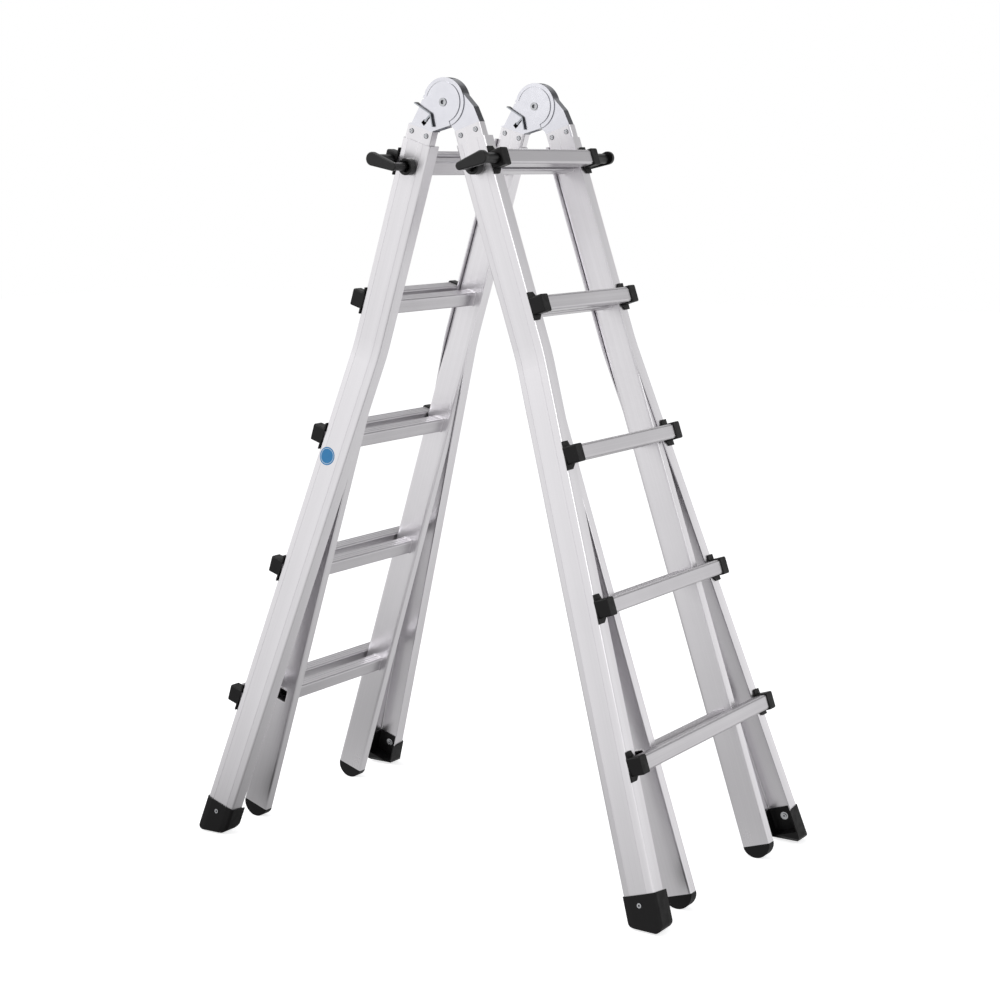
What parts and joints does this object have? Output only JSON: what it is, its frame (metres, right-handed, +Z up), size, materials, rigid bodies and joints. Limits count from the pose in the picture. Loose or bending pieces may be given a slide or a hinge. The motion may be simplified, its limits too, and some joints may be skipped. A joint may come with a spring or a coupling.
{
  "type": "multi position ladder",
  "caption": "Telescopic folding ladder standing open as steps: box-rail inner ladders slide in flared channel-rail outer ladders, joined by two click hinges.",
  "frame": {"origin": "on the floor midway between the four shoes, under the hinge axis", "axes": "+Z up, +X from the half with the release levers to the other half, Y along the rungs"},
  "size_m": [1.071, 0.6044, 1.4989],
  "materials": {
    "rail_aluminium": "mill-finish extrusion",
    "rung_aluminium": "mill-finish extrusion with a ribbed tread",
    "zinc_steel": "zinc-plated pressed steel",
    "bright_steel": "bright turned steel",
    "rivet_steel": "zinc-plated steel rivets",
    "black_plastic": "fine-textured black nylon moulding"
  },
  "bodies": {
    "left_inner": {"left_inner_rail_near": "rail_aluminium", "left_inner_rail_far": "rail_aluminium", "left_inner_rung_1": "rung_aluminium", "left_inner_rung_2": "rung_aluminium", "left_inner_rung_3": "rung_aluminium", "left_inner_rung_4": "rung_aluminium", "left_inner_rung_5": "rung_aluminium", "left_inner_caps": "black_plastic", "left_hinge_rivets": "rivet_steel", "hinge_near_left_leaf": "zinc_steel", "hinge_far_left_leaf": "zinc_steel", "hinge_pivot_pins": "bright_steel"},
    "left_outer": {"left_outer_rail_near": "rail_aluminium", "left_outer_rail_far": "rail_aluminium", "left_outer_rung_1": "rung_aluminium", "left_outer_rung_2": "rung_aluminium", "left_outer_rung_3": "rung_aluminium", "left_outer_rung_4": "rung_aluminium", "left_outer_rung_5": "rung_aluminium", "left_rung_clips": "black_plastic", "left_shoe_near": "black_plastic", "left_shoe_far": "black_plastic", "left_shoe_rivets": "rivet_steel", "left_lock_hubs": "black_plastic"},
    "right_inner": {"right_inner_rail_near": "rail_aluminium", "right_inner_rail_far": "rail_aluminium", "right_inner_rung_1": "rung_aluminium", "right_inner_rung_2": "rung_aluminium", "right_inner_rung_3": "rung_aluminium", "right_inner_rung_4": "rung_aluminium", "right_inner_rung_5": "rung_aluminium", "right_inner_caps": "black_plastic", "right_hinge_rivets": "rivet_steel", "hinge_near_right_leaf": "zinc_steel", "hinge_far_right_leaf": "zinc_steel"},
    "right_outer": {"right_outer_rail_near": "rail_aluminium", "right_outer_rail_far": "rail_aluminium", "right_outer_rung_1": "rung_aluminium", "right_outer_rung_2": "rung_aluminium", "right_outer_rung_3": "rung_aluminium", "right_outer_rung_4": "rung_aluminium", "right_outer_rung_5": "rung_aluminium", "right_rung_clips": "black_plastic", "right_shoe_near": "black_plastic", "right_shoe_far": "black_plastic", "right_shoe_rivets": "rivet_steel", "right_lock_hubs": "black_plastic"},
    "left_near_handle": {"lock_handle_left_near": "black_plastic", "lock_pin_left_near": "bright_steel"},
    "left_far_handle": {"lock_handle_left_far": "black_plastic", "lock_pin_left_far": "bright_steel"},
    "right_near_handle": {"lock_handle_right_near": "black_plastic", "lock_pin_right_near": "bright_steel"},
    "right_far_handle": {"lock_handle_right_far": "black_plastic", "lock_pin_right_far": "bright_steel"},
    "near_release": {"hinge_near_release_lever": "zinc_steel", "hinge_near_lock_bolt": "zinc_steel"},
    "far_release": {"hinge_far_release_lever": "zinc_steel", "hinge_far_lock_bolt": "zinc_steel"}
  },
  "joints": [
    {"name": "hinge_fold", "type": "hinge", "parent": "left_inner", "child": "right_inner", "pos_m": [0, 0, 1.44956], "axis": [0, -1, 0], "range_deg": [-35.6, 144.4]},
    {"name": "left_telescope", "type": "slide", "parent": "left_inner", "child": "left_outer", "axis": [-0.3057, 0, -0.9521], "range_m": [0, 1.12]},
    {"name": "right_telescope", "type": "slide", "parent": "right_inner", "child": "right_outer", "axis": [0.3057, 0, -0.9521], "range_m": [0, 1.12]},
    {"name": "left_near_lock", "type": "slide", "parent": "left_outer", "child": "left_near_handle", "axis": [0, 1, 0], "range_m": [0, 0.015]},
    {"name": "left_far_lock", "type": "slide", "parent": "left_outer", "child": "left_far_handle", "axis": [0, -1, 0], "range_m": [0, 0.015]},
    {"name": "right_near_lock", "type": "slide", "parent": "right_outer", "child": "right_near_handle", "axis": [0, 1, 0], "range_m": [0, 0.015]},
    {"name": "right_far_lock", "type": "slide", "parent": "right_outer", "child": "right_far_handle", "axis": [0, -1, 0], "range_m": [0, 0.015]},
    {"name": "near_hinge_lock", "type": "slide", "parent": "left_inner", "child": "near_release", "axis": [0.7638, 0, 0.6455], "range_m": [0, 0.006]},
    {"name": "far_hinge_lock", "type": "slide", "parent": "left_inner", "child": "far_release", "axis": [0.7638, 0, 0.6455], "range_m": [0, 0.006]}
  ]
}
